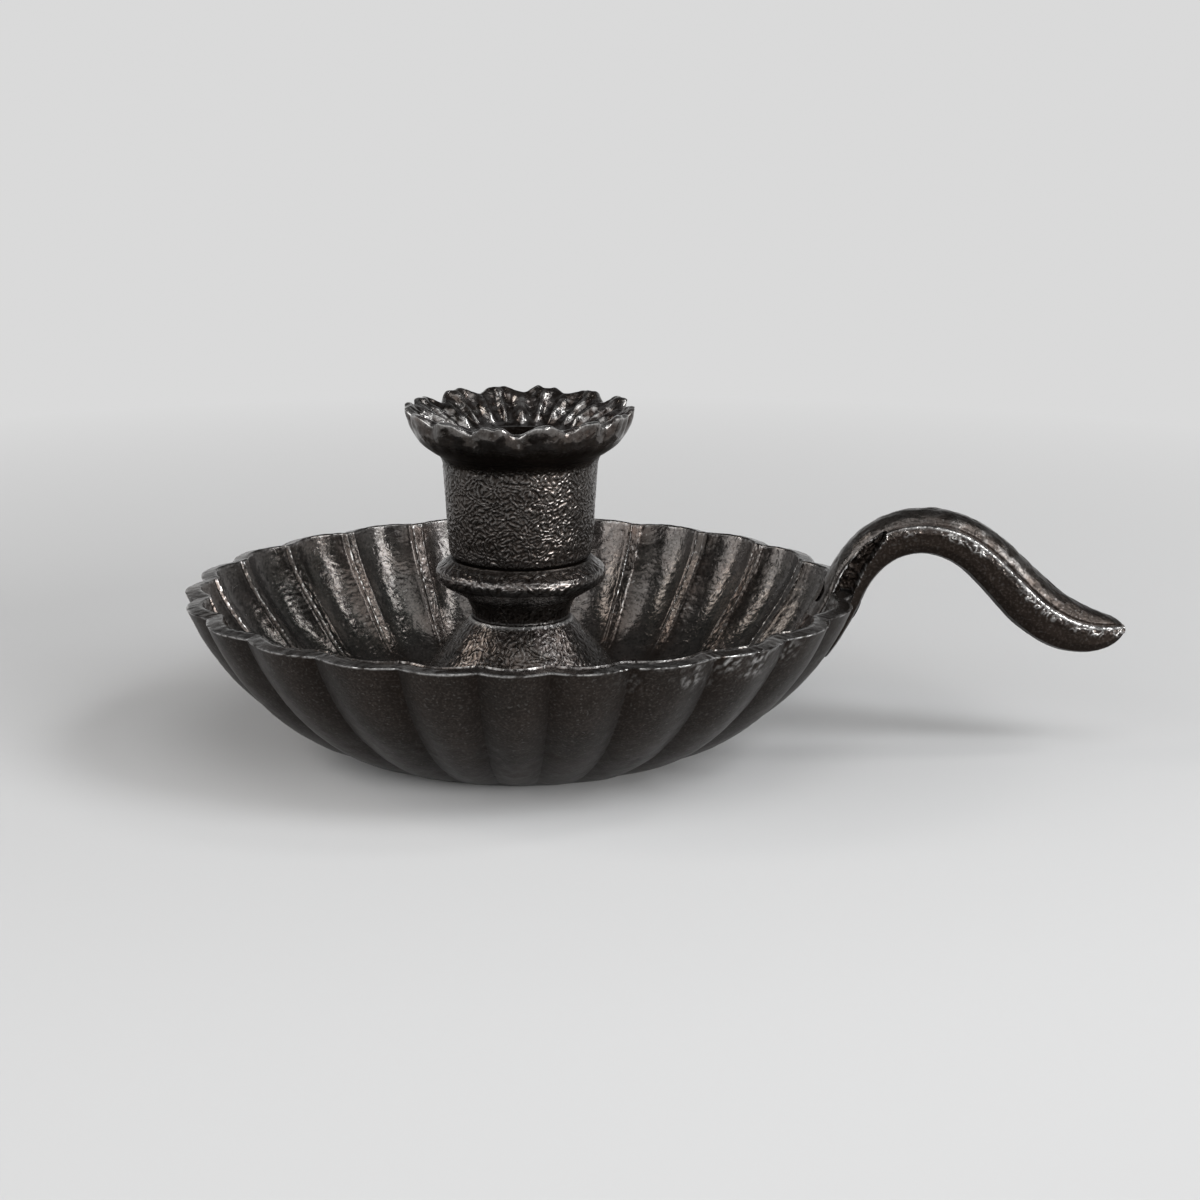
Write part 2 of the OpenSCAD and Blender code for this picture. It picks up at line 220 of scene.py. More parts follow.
def cell_distance(points, size, seed=0):
    """Distance to the nearest of one random point in each cell, as a share of the cell's size."""
    q = (points / size).reshape(-1, 3)
    base = np.floor(q)
    nearest = np.full(len(q), 9.0)
    for step in itertools.product((-1, 0, 1), repeat=3):
        cell = base + np.array(step)
        spot = np.stack([hashed(cell, seed + k) / 2.0**32 for k in range(3)], 1)
        nearest = np.minimum(nearest, (((cell + spot) - q) ** 2).sum(1))
    return np.sqrt(nearest).reshape(points.shape[:-1])


def warped(points, size, amount, seed):
    """Points moved about by noise, so that a pattern on them curls."""
    return points + amount * np.stack([noise(points, size, seed + k) for k in range(3)], -1)


# Arcs and the wall of the dish

def arc_parts(p, q, lean):
    d = np.subtract(q, p)
    half = math.degrees(math.atan2(d[1], d[0])) - lean
    return half, math.hypot(*d) / (2 * math.sin(math.radians(half)))


def on_arc(p, q, lean, t):
    """Points at shares t of the arc from p to q that leaves p at that slope: two arrays."""
    half, r = arc_parts(p, q, lean)
    a = lean + 2 * half * t
    return p[0] + r * (sin_d(a) - sin_d(lean)), p[1] + r * (cos_d(lean) - cos_d(a))


def arc_slope(p, q, lean, t):
    return lean + 2 * arc_parts(p, q, lean)[0] * t


wall_foot = (BASE_R, 0.0)
wall_top = (rim_r, dish_h)


def wall_at(t):
    return on_arc(wall_foot, wall_top, BASE_LEAN, t)


def wall_slope(t):
    return arc_slope(wall_foot, wall_top, BASE_LEAN, t)


def scallop(a):
    return 1 - np.abs(cos_d(FLUTES * a / 2))


def outer_wall(t, a, gap=0.0):
    x, z = wall_at(t)
    slope = wall_slope(t)
    press = lerp(slope, 90, t * t)
    depth = FLUTE_DEPTH * (1 - np.clip(1 - t, 0, 1) ** 2.2) * scallop(a)
    return x - sin_d(press) * depth + gap * sin_d(slope), z + cos_d(press) * depth - gap * cos_d(slope)


def inner_line(t):
    """The wall's inner face along a crest, which runs up to the rim's inner edge."""
    slope = wall_slope(t)
    x, z = wall_at(t)
    near = smooth((t - 0.88) / 0.12)
    lift = near * (RIM_RISE - WALL_T * cos_d(wall_slope(1.0)))
    pull = near * (WALL_T / sin_d(wall_slope(1.0)) - WALL_T * sin_d(wall_slope(1.0)))
    return x - WALL_T * sin_d(slope) - pull, z + WALL_T * cos_d(slope) + lift


def inner_wall(t, a, depth, gap=0.0):
    x, z = inner_line(t)
    slope = wall_slope(t)
    press = lerp(slope, 90, t * t)
    x = x - sin_d(press) * depth - gap * sin_d(slope)
    z = z + cos_d(press) * depth + gap * cos_d(slope)
    return x, np.maximum(floor_t, z)


def plain_rib(t, a):
    """Height of the ribs between the flutes, which fade out towards the floor."""
    edge = scallop(pitch * (0.5 - RIB_HALF))
    return FLUTE_DEPTH * smooth((t - RIB_FROM) / (RIB_FULL - RIB_FROM)) * np.minimum(1, scallop(a) / edge)


def crowd(a):
    """The hand-cut pattern crowds its flutes a little at the front."""
    front = a + 90
    return -(CROWD_4 * sin_d(4 * front) + CROWD_2 * sin_d(2 * front)) * (1 + cos_d(front)) / 2


def turned(x, z, a):
    return np.stack([x * cos_d(a), x * sin_d(a), z + 0 * a], -1)


# Meshes

def grid_faces(rows, columns, closed=False):
    """Quads over rows of points. The columns close on themselves, and so do the rows where closed is true."""
    i, j = np.meshgrid(np.arange(rows if closed else rows - 1), np.arange(columns), indexing="ij")
    i2, j2 = (i + 1) % rows, (j + 1) % columns
    quads = np.stack([i * columns + j, i * columns + j2, i2 * columns + j2, i2 * columns + j], -1)
    return quads.reshape(-1, 4).tolist()


def skin(name, rings, closed=False, marks=None):
    """A solid over rings of points, rows by columns by 3. Its ends are capped unless its rows close."""
    rows, columns = rings.shape[:2]
    faces = grid_faces(rows, columns, closed)
    if not closed:
        faces.append(list(range(columns - 1, -1, -1)))
        faces.append(list(range((rows - 1) * columns, rows * columns)))
    mesh = bpy.data.meshes.new(name)
    mesh.from_pydata((rings.reshape(-1, 3) * MM).tolist(), [], faces)
    mesh.validate()
    for key, values in (marks or {}).items():
        attribute = mesh.attributes.new(key, "FLOAT", "POINT")
        attribute.data.foreach_set("value", np.clip(values, 0, 1).astype(np.float32).ravel())
    piece = bpy.data.objects.new(name, mesh)
    bpy.context.scene.collection.objects.link(piece)
    work = bmesh.new()
    work.from_mesh(mesh)
    bmesh.ops.recalc_face_normals(work, faces=work.faces)
    work.to_mesh(mesh)
    work.free()
    return piece


def grid_normals(rings):
    """Unit normals of a grid of points that closes along its columns."""
    down = np.gradient(rings, axis=0)
    across = (np.roll(rings, -1, 1) - np.roll(rings, 1, 1)) / 2
    n = np.cross(across, down)
    return n / np.maximum(np.linalg.norm(n, axis=-1, keepdims=True), 1e-9)


def raised(rings, height):
    """A grid of points moved along its own normals by a grid of heights."""
    return rings + grid_normals(rings) * height[..., None]


def profile_line(corners, step):
    """A profile through corners with points at about that step."""
    out = []
    for p, q in zip(corners[:-1], corners[1:]):
        count = max(1, round(math.dist(p, q) / step))
        out += [lerp(np.array(p), np.array(q), k / count) for k in range(count)]
    return out + [np.array(corners[-1])]


def arc_line(centre, r, start, end, step):
    """Points on an arc, with angles in degrees."""
    count = max(2, round(abs(math.radians(end - start)) * r / step))
    return [np.array([centre[0] + r * cos_d(a), centre[1] + r * sin_d(a)]) for a in np.linspace(start, end, count + 1)]


def hollow_line(p, q, bow, step):
    """An arc from p to q that is hollowed by bow towards the axis."""
    p, q = np.array(p), np.array(q)
    side = np.array([q[1] - p[1], p[0] - q[0]]) / np.linalg.norm(q - p)
    side = side * (-1 if side[0] > 0 else 1)
    count = max(2, round(math.dist(p, q) / step))
    return [lerp(p, q, s) + side * bow * 4 * s * (1 - s) for s in np.linspace(0, 1, count + 1)]


def joined(*lines):
    """One profile from several lines, without the points that they share."""
    out = []
    for line in lines:
        for p in line:
            if not out or math.dist(out[-1], p) > 1e-4:
                out.append(np.array(p))
    return np.array(out)


def read_marks(mesh, key):
    values = np.zeros(len(mesh.vertices), np.float32)
    if key in mesh.attributes:
        mesh.attributes[key].data.foreach_get("value", values)
    return values


def mark_relief(piece, rounds, full, wear_share, hollow_shade_share):
    """Adds to the marks: wear by how far each vertex stands out of its smoothed surroundings, and painted shade by how
    far it sinks below them.
    """
    mesh = piece.data
    count = len(mesh.vertices)
    points = np.empty(count * 3)
    mesh.vertices.foreach_get("co", points)
    points = points.reshape(-1, 3) / MM
    normals = np.empty(count * 3)
    mesh.vertices.foreach_get("normal", normals)
    normals = normals.reshape(-1, 3)
    edges = np.empty(len(mesh.edges) * 2, np.int32)
    mesh.edges.foreach_get("vertices", edges)
    edges = edges.reshape(-1, 2)
    both = np.concatenate([edges, edges[:, ::-1]])
    degree = np.maximum(np.bincount(both[:, 0], minlength=count), 1)
    around = points.copy()
    for _ in range(rounds):
        around = np.stack(
            [np.bincount(both[:, 0], around[both[:, 1], k], count) / degree for k in range(3)], 1
        )
    out = ((points - around) * normals).sum(1) / full
    free_of_dirt_and_shade = 1 - read_marks(mesh, "soil_and_shade")
    # Painted shade in what sinks below its surroundings; wear on what stands out.
    for key, values in (("worn", wear_share * free_of_dirt_and_shade * out), ("soil_and_shade", -hollow_shade_share * out)):
        total = read_marks(mesh, key) + np.clip(values, 0, 1)
        if key not in mesh.attributes:
            mesh.attributes.new(key, "FLOAT", "POINT")
        mesh.attributes[key].data.foreach_set("value", np.clip(total, 0, 1).astype(np.float32))


def shade(piece, sharp_angle=50.0):
    """Smooth shading, apart from edges sharper than that angle."""
    work = bmesh.new()
    work.from_mesh(piece.data)
    for face in work.faces:
        face.smooth = True
    for edge in work.edges:
        edge.smooth = edge.calc_face_angle(0.0) < math.radians(sharp_angle)
    work.to_mesh(piece.data)
    work.free()


# Materials

def add_node(tree, kind, **values):
    """A shader node with some of its inputs set, or linked where the value is another node's output."""
    made = tree.nodes.new(kind)
    for key, value in values.items():
        name = key.replace("_", " ")
        if name in made.inputs:
            link_or_set(tree, made.inputs[name], value)
        else:
            setattr(made, key, value)
    return made


def link_or_set(tree, socket, value):
    if isinstance(value, bpy.types.NodeSocket):
        tree.links.new(value, socket)
    else:
        socket.default_value = value


def mapped(tree, value, low, high, to_low=0.0, to_high=1.0):
    made = add_node(tree, "ShaderNodeMapRange")
    link_or_set(tree, made.inputs["Value"], value)
    made.inputs["From Min"].default_value = low
    made.inputs["From Max"].default_value = high
    made.inputs["To Min"].default_value = to_low
    made.inputs["To Max"].default_value = to_high
    return made.outputs["Result"]


def calculated(tree, operation, a, b):
    made = add_node(tree, "ShaderNodeMath", operation=operation)
    link_or_set(tree, made.inputs[0], a)
    link_or_set(tree, made.inputs[1], b)
    return made.outputs[0]


def blended(tree, factor, a, b):
    """One colour mixed into another by a factor."""
    made = add_node(tree, "ShaderNodeMix", data_type="RGBA")
    colours = [s for s in made.inputs if s.type == "RGBA"]
    link_or_set(tree, made.inputs[0], factor)
    link_or_set(tree, colours[0], a)
    link_or_set(tree, colours[1], b)
    return [s for s in made.outputs if s.type == "RGBA"][0]


def cloudy(tree, place, size_mm, detail=3.0, roughness=0.55):
    """A noise texture whose largest features have about that size."""
    made = add_node(tree, "ShaderNodeTexNoise", Vector=place, Scale=1000.0 / size_mm, Detail=detail)
    made.inputs["Roughness"].default_value = roughness
    return made.outputs["Fac"]


def wrinkles(tree, place, size_mm, lines, curl):
    """Narrow curled grooves along the level lines of a cloud of that size: -1 in a groove, 0 between them."""
    cloud = add_node(tree, "ShaderNodeTexNoise", Vector=place, Scale=1000.0 / size_mm, Detail=1.0)
    cloud.inputs["Roughness"].default_value = 0.4
    cloud.inputs["Distortion"].default_value = curl
    wave = calculated(tree, "SINE", calculated(tree, "MULTIPLY", cloud.outputs["Fac"], lines * math.tau), 0.0)
    return mapped(tree, calculated(tree, "ABSOLUTE", wave, 0.0), 0.05, GROOVE_SHARE, -1.0, 0.0)


def iron_material(name, rough, grain_height, wrinkle, rust=0.3, pits=0.2, dark=None, brown=None):
    """Old cast iron under a dark skin: mottled, with painted shade in hollows and grooves, rubbed edges, sand grain,
    pits and wrinkles.
    """
    material = bpy.data.materials.new(name)
    material.use_nodes = True
    tree = material.node_tree
    tree.nodes.clear()
    place = add_node(tree, "ShaderNodeTexCoord").outputs["Object"]
    worn = add_node(tree, "ShaderNodeAttribute", attribute_name="worn").outputs["Fac"]
    soil_and_shade = add_node(tree, "ShaderNodeAttribute", attribute_name="soil_and_shade").outputs["Fac"]
    creased = add_node(tree, "ShaderNodeAttribute", attribute_name="creased").outputs["Fac"]

    broad = cloudy(tree, place, 13.0, 2.0)
    patchy = cloudy(tree, place, 2.6, 4.0, 0.65)
    speckled = cloudy(tree, place, 0.55, 2.0, 0.6)
    grain = cloudy(tree, place, GRAIN_MM, 1.0, 0.5)
    sparks = mapped(tree, cloudy(tree, place, SPARK_MM, 0.0), 0.68, 0.78, 0.0, SPARK_WEAR)

    colour = blended(tree, mapped(tree, broad, 0.38, 0.62), (dark or DARK) + (1.0,), (brown or BROWN) + (1.0,))
    rusty = calculated(tree, "MULTIPLY", mapped(tree, patchy, 0.56, 0.7), mapped(tree, broad, 0.48, 0.66, 0.0, rust))
    colour = blended(tree, rusty, colour, RUST + (1.0,))
    colour = blended(tree, mapped(tree, patchy, 0.5, 0.34, 0.0, 0.25), colour, SOOT_AND_SHADE + (1.0,))
    colour = blended(tree, mapped(tree, speckled, 0.44, 0.34, 0.0, 0.4), colour, SOOT_AND_SHADE + (1.0,))
    # Painted shade, with some dirt, where the marks call for it: near black.
    colour = blended(tree, mapped(tree, soil_and_shade, 0.1, 1.0, 0.0, 0.94), colour, SOOT_AND_SHADE + (1.0,))
    sandy = calculated(tree, "MULTIPLY", mapped(tree, speckled, 0.52, 0.64), mapped(tree, soil_and_shade, 0.5, 1.0, 0.5, 0.25))
    colour = blended(tree, sandy, colour, (brown or BROWN) + (1.0,))
    size_mm, lines, curl, depth = wrinkle
    wave = wrinkles(tree, place, size_mm, lines, curl)
    # Painted shade in the wrinkles' grooves.
    valley = calculated(tree, "MULTIPLY", mapped(tree, wave, -0.15, -0.8, 0.0, 0.9), creased)
    colour = blended(tree, valley, colour, SOOT_AND_SHADE + (1.0,))
    rubbed = calculated(tree, "MULTIPLY", worn, mapped(tree, speckled, 0.32, 0.52, 0.3, 1.0))
    sparks = calculated(tree, "MULTIPLY", sparks, mapped(tree, soil_and_shade, 0.2, 1.0, 1.0, 0.15))
    rubbed = calculated(tree, "MAXIMUM", rubbed, sparks)
    colour = blended(tree, rubbed, colour, BRIGHT + (1.0,))

    rough_now = mapped(tree, patchy, 0.3, 0.7, rough - 0.03, rough + 0.06)
    rough_now = calculated(tree, "ADD", rough_now, mapped(tree, soil_and_shade, 0.1, 1.0, 0.0, 0.25))
    rough_now = calculated(tree, "SUBTRACT", rough_now, calculated(tree, "MULTIPLY", rubbed, 0.06))

    dots = add_node(tree, "ShaderNodeTexVoronoi", Vector=place, Scale=1000.0 / 1.2).outputs["Distance"]
    dots = mapped(tree, dots, 0.0, 0.25, -1.2, 0.0)
    where = mapped(tree, cloudy(tree, place, 6.0, 1.0), 0.62 - pits, 0.74 - pits)
    grainy = calculated(tree, "ADD", grain, calculated(tree, "MULTIPLY", dots, where))
    grainy = calculated(tree, "MULTIPLY", grainy, grain_height * MM)
    curled = calculated(tree, "MULTIPLY", calculated(tree, "MULTIPLY", wave, depth * MM), creased)
    curled = calculated(tree, "MULTIPLY", curled, mapped(tree, patchy, 0.32, 0.6, 0.45, 1.0))
    height = calculated(tree, "ADD", grainy, curled)
    bump = add_node(tree, "ShaderNodeBump", Height=height, Strength=1.0, Distance=1.0)

    shader = add_node(tree, "ShaderNodeBsdfPrincipled", Metallic=METALLIC)
    link_or_set(tree, shader.inputs["Base Color"], colour)
    link_or_set(tree, shader.inputs["Roughness"], rough_now)
    link_or_set(tree, shader.inputs["Normal"], bump.outputs["Normal"])
    output = add_node(tree, "ShaderNodeOutputMaterial")
    tree.links.new(shader.outputs["BSDF"], output.inputs["Surface"])
    return material


def dress(piece, material, body, node):
    """Gives a piece its material and body, and hides the node that it stands for."""
    piece.data.materials.clear()
    piece.data.materials.append(material)
    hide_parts(node)
    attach(piece, body)


# Dish

BEAD_COLUMNS = 28
PLAIN_COLUMNS = 15
BEAD_ZONE = 0.1
BEAD_W = 0.14
OUTER_ROWS = 80
INNER_ROWS = 160
RIM_SHARES = (0.035, 0.07, 0.25, 0.5, 0.75, 0.93, 0.965)
RIM_EDGES = (-0.07, 0.0, 0.0, 0.0, 0.0, 0.0, -0.05)
RIM_SINK = 0.6
FLAW_AT = -50.0
FLAW_WIDTH = 13.0


def rib_profile(t, a, spots):
    """Rib height along a flute: a flat top between fine raised edges, with a small groove beside each."""
    share = np.abs((a / pitch) % 1 - 0.5)
    line = rim_r * math.tau / FLUTES
    off = (share - RIB_HALF) * line
    stand = smooth((t - RIB_FROM) / 0.25)
    bead = 0.2 * bell(off, BEAD_W) * (0.7 + 0.6 * spots)
    one_side = np.where((a / pitch) % 1 > 0.5, 1.0, 0.3)
    return plain_rib(t, a) + stand * one_side * (bead - 0.3 * bell(off - 0.55, 0.3))


def bead_wear(t, a, points):
    """Wear on a rib's raised edges: dots and dashes, more of them on its left edge."""
    share = (a / pitch) % 1 - 0.5
    off = (np.abs(share) - RIB_HALF) * rim_r * math.tau / FLUTES
    dots = smooth(0.15 + 2.4 * noise(points, 0.9, 57) + 0.8 * noise(points, 4.0, 58))
    return bell(off, BEAD_W) * dots * np.where(share > 0, 1.0, 0.25) * smooth((t - RIB_FROM) / 0.25)


def inner_relief(p, t):
    """Hammer-soft dimples two to three millimetres wide with curled creases between them."""
    curled = warped(p, 3.0, 1.4, 54)
    dimple = smooth(cell_distance(curled, 1.9, 51) * 1.2) - 0.6
    crease = bell(noise(curled, 1.5, 52), 0.16)
    fine = noise(curled, 0.9, 53)
    swell = noise(p, 6.0, 55)
    return -(0.03 * dimple + 0.06 * crease - 0.012 * fine - 0.1 * swell) * smooth(t / 0.12)


def outer_relief(p, t, flaw):
    """Slight waves of the sand mould, and chips where the casting ran badly; none where the base rests."""
    wave = 0.14 * noise(p, 8.0, 41) + 0.05 * noise(p, 2.0, 42) - 0.1
    scab = smooth(noise(p, 10.0, 43) * 2.4 - 0.5)
    chips = smooth(1 - cell_distance(p, 1.9, 44) * 1.7)
    chips = chips * (0.12 * scab + 0.55 * flaw) + 0.3 * flaw * noise(p, 1.1, 45)
    return (wave - chips) * smooth(t / 0.12)


def make_dish():
    """Fluted pan as one skin: underside, outer wall, rim, inner wall, floor, boss and its blind hole."""
    plain = np.linspace(0, 0.5 - BEAD_ZONE, PLAIN_COLUMNS, endpoint=False)
    fine = np.linspace(0.5 - BEAD_ZONE, 0.5 + BEAD_ZONE, BEAD_COLUMNS, endpoint=False)
    within = np.concatenate([plain, fine, 0.5 + BEAD_ZONE + plain])
    a = ((np.arange(FLUTES)[:, None] + within[None, :]) * pitch).ravel()[None, :]
    at = a + crowd(a)
    turn = (at - FLAW_AT + 180) % 360 - 180
    under = np.concatenate([turned(np.full_like(a, r), np.zeros_like(a), at) for r in (1.0, 8.0, 16.0, 24.0, 29.0)])

    t_out = np.append(np.linspace(0, 0.986, OUTER_ROWS - 2), (0.9915, 0.995))[:, None]
    outer = turned(*outer_wall(t_out, a), at)
    flaw = smooth((t_out - 0.84) / 0.1) * bell(turn, FLAW_WIDTH) * smooth(noise(outer, 6.0, 46) * 1.6 + 0.6)
    outer = raised(outer, outer_relief(outer, t_out, flaw))

    t_in = np.linspace(0.99, 0.0, INNER_ROWS)[:, None]
    inner = turned(*inner_wall(t_in, a, plain_rib(t_in, a)), at)
    inner = turned(*inner_wall(t_in, a, rib_profile(t_in, a, noise(inner, 1.5, 56))), at)
    inner = raised(inner, inner_relief(inner, t_in))

    one = np.array([[1.0]])
    out_x, out_z = outer_wall(one, a)
    in_x, in_z = inner_wall(one, a, plain_rib(one, a))
    shares = np.array(RIM_SHARES)[:, None]
    crown = np.array(RIM_EDGES)[:, None]
    rim = turned(lerp(out_x, in_x, shares), lerp(out_z, in_z, shares) + crown, at)
    rim[..., 2] -= RIM_SINK * shares * ((1 - sin_d(at)) / 2) ** 2
    rim_flaw = bell(turn, FLAW_WIDTH) * (1 - shares)
    rim[..., 2] -= 0.2 * np.abs(noise(rim, 2.2, 31)) + 0.14 * (1 + noise(rim, 15.0, 32))
    rim[..., 2] -= 0.5 * rim_flaw * np.abs(noise(rim, 1.6, 33))

    floor_corners = [(29.0, floor_t), (BOSS_R, floor_t), (BOSS_R, floor_t + BOSS_H), (SCREW_HOLE_R, floor_t + BOSS_H),
                     (SCREW_HOLE_R, FLOOR_SKIN), (0.5, FLOOR_SKIN)]
    floor = np.concatenate([turned(np.full_like(a, r), np.full_like(a, z), at) for r, z in profile_line(floor_corners, 4.0)])

    rings = np.concatenate([under, outer, rim, inner, floor])
    worn = np.zeros(rings.shape[:2])
    soil_and_shade = np.zeros(rings.shape[:2])
    n_out = len(under) + OUTER_ROWS
    edge = n_out - 1 + np.arange(-2, 3)
    n_in = n_out + len(rim)
    creased = np.zeros(rings.shape[:2])
    # Painted shade: the whole outer wall, darkest in the creases between its lobes, and a little on the rim's top. The
    # inside darkens towards the floor.
    soil_and_shade[len(under):n_out - 1] = 0.78 + 0.22 * smooth(scallop(a)) * smooth(t_out[:-1] / 0.5)
    soil_and_shade[n_out + 2:n_in - 1] = 0.1
    ragged = smooth(0.65 + 1.6 * noise(rings[edge], 3.0, 34) + 1.3 * noise(rings[edge], 0.8, 35))
    worn[edge] = ragged * np.array([0.0, 0.5, 1.0, 1.0, 0.9])[:, None]
    inner_edge = n_in + np.arange(-2, 2)
    worn[inner_edge] = smooth(2.4 * noise(rings[inner_edge], 0.9, 36) + 1.2 * noise(rings[inner_edge], 5.0, 37)) * 0.25
    worn[len(under):n_out] += 0.8 * flaw * smooth(noise(outer, 1.1, 45) * 2.5)
    flute = smooth(1.15 - scallop(a) * 1.6)
    worn[n_in:n_in + INNER_ROWS] += 0.085 * flute * smooth(t_in / 0.4) + bead_wear(t_in, a, inner)
    soil_and_shade[n_in:n_in + INNER_ROWS] = 0.35 * smooth(1 - t_in / 0.5)
    creased[n_in:n_in + INNER_ROWS] = 0.15 + 0.65 * flute**2 * smooth(t_in / 0.35)
    creased[n_out:n_in] = 0.4
    creased[len(under):n_out] = 0.1
    piece = skin("dish_casting", rings, marks={"worn": worn, "soil_and_shade": soil_and_shade, "creased": creased})
    shade(piece)
    mark_relief(piece, 10, 0.25, 0.08, 0.6)
    return piece


# Stem

STEM_COLUMNS = 640
STEP = 0.17
# Widths of the painted shade at the seams and in the cove under the drip ring.
SEAM_SHADE_W = 0.7
COVE_SHADE_W = 1.6


def outward(rings):
    """1 or -1, so that raised() moves the outer side of a revolved grid outwards."""
    widest = np.argmax(np.hypot(rings[:, 0, 0], rings[:, 0, 1]))
    return 1.0 if grid_normals(rings)[widest, 0, 0] > 0 else -1.0


def strokes(profile, around, length, breadth, curl, seed):
    """A skin of short curled strokes. length runs round the axis and breadth runs along the profile."""
    run = np.concatenate([[0], np.cumsum(np.linalg.norm(np.diff(profile, axis=0), axis=1))])[:, None]
    mean = np.maximum(profile[:, :1], 4.0).mean()
    p = turned(mean + 0 * run, run, around)
    p = warped(p, 2.8, curl, seed)
    sizes = np.array([length, length, breadth])
    main = noise(p, sizes, seed + 4)
    minor = noise(p, 0.55 * sizes, seed + 5)
    return np.tanh(1.5 * (main + 0.4 * minor)) * 0.6


def stem_piece(name, profile, height, zone, stroke, creases, seams, seed):
    """A turned casting with a wrinkled skin where zone(radius, height) allows it, and painted shade at its seams and
    off the wrinkled skin.
    """
    around = np.linspace(0, 360, STEM_COLUMNS, endpoint=False)[None, :]
    rings = turned(profile[:, :1], profile[:, 1:], around)
    mask = zone(profile[:, 0], profile[:, 1])[:, None]
    skin_height = height * (strokes(profile, around, *stroke, seed) - 0.5) + 0.1 * noise(rings, 5.0, seed + 9)
    rings = raised(rings, skin_height * mask * outward(rings))
    # Painted shade where the skin is not wrinkled, as in the cove under the lip and inside, and at the seams where
    # parts meet, over a little dirt everywhere.
    dirt_and_shade = 0.2 + 0.65 * (1 - mask)
    for seam, width in seams:
        dirt_and_shade = np.maximum(dirt_and_shade, bell(profile[:, 1:] - seam, width))
    marks = {"worn": np.zeros(rings.shape[:2]), "soil_and_shade": dirt_and_shade + 0 * around, "creased": creases * mask + 0 * around}
    piece = skin(name, rings, marks=marks)
    shade(piece)
    mark_relief(piece, 6, 0.09, 0.42, 1.2)
    return piece


def make_foot():
    top_r = NECK_R + NECK_STEP
    mouth_r = foot_r - FOOT_LAND
    flank = hollow_line((foot_r, foot_z + SKIRT_T), (top_r, knop_z), FLANK_BOW, 0.26)
    ceiling_z = knop_z - FOOT_TOP_T
    inside = [(SCREW_HOLE_R, knop_z), (SCREW_HOLE_R, ceiling_z), (top_r - FOOT_WALL, ceiling_z), (mouth_r, foot_z)]
    skirt = profile_line([(mouth_r, foot_z), (foot_r, foot_z), (foot_r, foot_z + SKIRT_T)], 0.6)
    profile = joined(skirt, flank, profile_line(inside, 2.5)[:-1])
    zone = lambda r, z: smooth((z - foot_z - 1.5) / 2) * (r > NECK_R)
    return stem_piece("foot_casting", profile, 0.1, zone, (1.1, 1.1, 1.6), 1.0, ((foot_z, SEAM_SHADE_W), (knop_z, SEAM_SHADE_W)), 81)


def make_knop():
    collar_z = knop_z + NECK_H
    edge = (collar_r - COLLAR_EDGE_R, (collar_z + cup_z) / 2 + COLLAR_LIFT)
    bead = arc_line(edge, COLLAR_EDGE_R, EDGE_LOW, EDGE_HIGH, STEP)
    neck = hollow_line((NECK_R, knop_z), (NECK_R + NECK_FLARE, collar_z), NECK_BOW, STEP)
    top_r = CUP_BOTTOM_R - CUP_STEP
    profile = joined(
        profile_line([(SCREW_HOLE_R, knop_z), (NECK_R, knop_z)], 2.0), neck,
        profile_line([neck[-1], bead[0]], STEP), bead, profile_line([bead[-1], (top_r, cup_z)], STEP),
        profile_line([(top_r, cup_z), (SCREW_HOLE_R, cup_z)], 2.0),
    )
    zone = lambda r, z: smooth((r - 8.5) / 1.5) * (z < cup_z - 0.1)
    return stem_piece("knop_casting", profile, 0.13, zone, (1.1, 1.1, 1.6), 1.0, ((knop_z, SEAM_SHADE_W), (cup_z, SEAM_SHADE_W)), 101)


def make_cup():
    cove_h = LIP_COVE_H + LIP_LAND
    neck_z = ring_z - cove_h
    out = lip_r - CUP_TOP_R
    cove_r = (out * out + cove_h * cove_h) / (2 * out)
    turn = math.degrees(math.asin(cove_h / cove_r))
    cove = arc_line((CUP_TOP_R + cove_r, neck_z), cove_r, 180, 180 - turn, STEP)
    corner = arc_line((CUP_BOTTOM_R - CUP_ROUND, cup_z + CUP_ROUND), CUP_ROUND, -90, 0, STEP)
    seat_r = RING_BORE_R + SPIGOT_T + LIFT_GAP
    seat_z = spigot_z - LIFT_GAP
    recess_r = washer_high[0] + HEAD_ROOM
    inside = [(lip_r, ring_z), (seat_r, ring_z), (seat_r, seat_z), (CANDLE_R, seat_z),
              (CANDLE_R, candle_floor_z), (recess_r, candle_floor_z), (recess_r, washer_low[2]),
              (SCREW_HOLE_R, washer_low[2]), (SCREW_HOLE_R, cup_z)]
    profile = joined(
        corner, profile_line([corner[-1], (CUP_TOP_R, neck_z)], STEP), cove, profile_line(inside, 1.2),
    )
    zone = lambda r, z: smooth((r - 13.4) / 1.0) * smooth((ring_z - 0.8 - z) / 1.6) * (z > cup_z + 0.1)
    return stem_piece("cup_casting", profile, 0.19, zone, (0.65, 0.55, 1.6), 0.25, ((cup_z, SEAM_SHADE_W), (ring_z, COVE_SHADE_W)), 121)


# Drip ring

PETAL_COLUMNS = 44
SEAT_LAP = 0.06
RING_OUT_ROWS = 34
RING_IN_ROWS = 46
LIP_SHARES = (0.15, 0.38, 0.62, 0.85)


def petal_place(a):
    """Distance from the petal's middle as a share of its width, and the petal's number."""
    f = a * PETALS / 360
    return np.abs(f - np.round(f)), np.round(f).astype(int) % PETALS


def petal_random(number, seed):
    cells = np.stack([number.ravel(), 0 * number.ravel(), 0 * number.ravel()], 1)
    return (hashed(cells, seed) / 2.0**32).reshape(number.shape)


def petal_wave(a):
    """How far the lip is drawn in: 0 on a petal's shoulders, 1 in the valleys, with a notch in its middle."""
    share, number = petal_place(a)
    notch = 0.3 + 0.4 * (petal_random(number, 61) - 0.5)
    valley = np.floor(a * PETALS / 360).astype(int) % PETALS
    deep = 0.8 + 0.7 * petal_random(valley, 60)
    return deep * ((1 - cos_d(360 * share)) / 2) ** 1.6 + notch * bell(share, 0.13)


